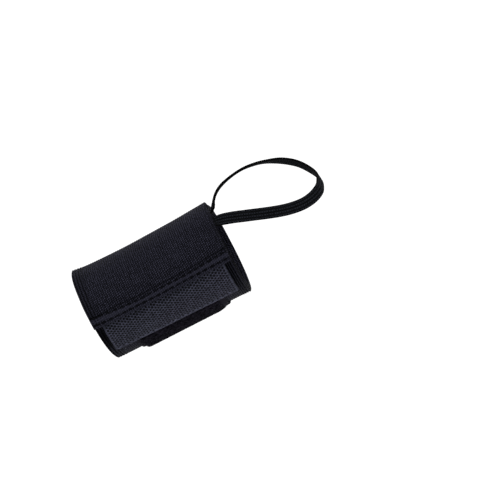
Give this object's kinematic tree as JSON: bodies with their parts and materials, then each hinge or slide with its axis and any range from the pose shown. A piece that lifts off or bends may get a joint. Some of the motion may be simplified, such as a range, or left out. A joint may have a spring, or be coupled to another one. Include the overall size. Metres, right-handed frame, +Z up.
{
  "type": "wrist wrap with thumb loop",
  "caption": "Wide ribbed elastic wrist wrap wound round an open wrist hollow, closed by a hook tab on a pile patch, with a flat elastic thumb loop.",
  "frame": {"origin": "middle of the open hollow that the wrist fills, halfway along the band", "axes": "+X along the forearm towards the hand and the thumb loop, +Z up through the top of the wrist as worn, -Y out of the thumb side, where the tab closes"},
  "size_m": [0.1334, 0.0718, 0.0597],
  "materials": {
    "band_elastic": "black ribbed woven elastic",
    "hook_tape": "black woven nylon hook tape, seen from its back",
    "pile_tape": "black brushed nylon loop pile",
    "braided_elastic": "black flat braided elastic"
  },
  "bodies": {
    "root": {"wrist_band": "band_elastic", "hook_tab": "hook_tape", "loop_patch": "pile_tape", "thumb_loop": "braided_elastic"}
  },
  "joints": []
}
